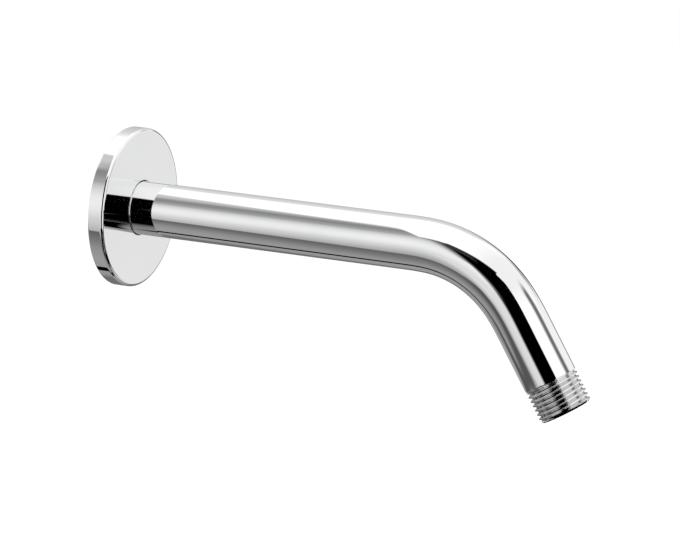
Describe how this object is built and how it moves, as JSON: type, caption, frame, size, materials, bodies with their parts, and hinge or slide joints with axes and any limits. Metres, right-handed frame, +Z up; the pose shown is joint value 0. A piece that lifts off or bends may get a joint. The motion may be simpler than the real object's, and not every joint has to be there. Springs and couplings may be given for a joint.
{
  "type": "shower arm",
  "caption": "Wall-mounted shower arm: a polished chrome tube bent down to a threaded outlet, with a round flange that slides along it to cover the hole in the wall.",
  "frame": {"origin": "on the tube's axis in the wall plane, where the flange's back face lies at rest", "axes": "+X out of the wall along the tube's straight run, +Z up, the outlet bends down towards -Z"},
  "size_m": [0.2068, 0.0624, 0.0944],
  "materials": {
    "arm_chrome": "polished chrome plate on brass",
    "flange_chrome": "polished chrome plate on brass",
    "ring_rubber": "black moulded rubber"
  },
  "bodies": {
    "arm": {"arm": "arm_chrome"},
    "seal": {"flange_o_ring": "ring_rubber"},
    "flange": {"wall_flange": "flange_chrome"}
  },
  "joints": [
    {"name": "flange_slide", "type": "slide", "parent": "arm", "child": "seal", "axis": [1, 0, 0], "range_m": [0, 0.1195]},
    {"name": "flange_spin", "type": "hinge", "parent": "seal", "child": "flange", "pos_m": [0.004, 0, 0], "axis": [1, 0, 0], "continuous": true}
  ]
}
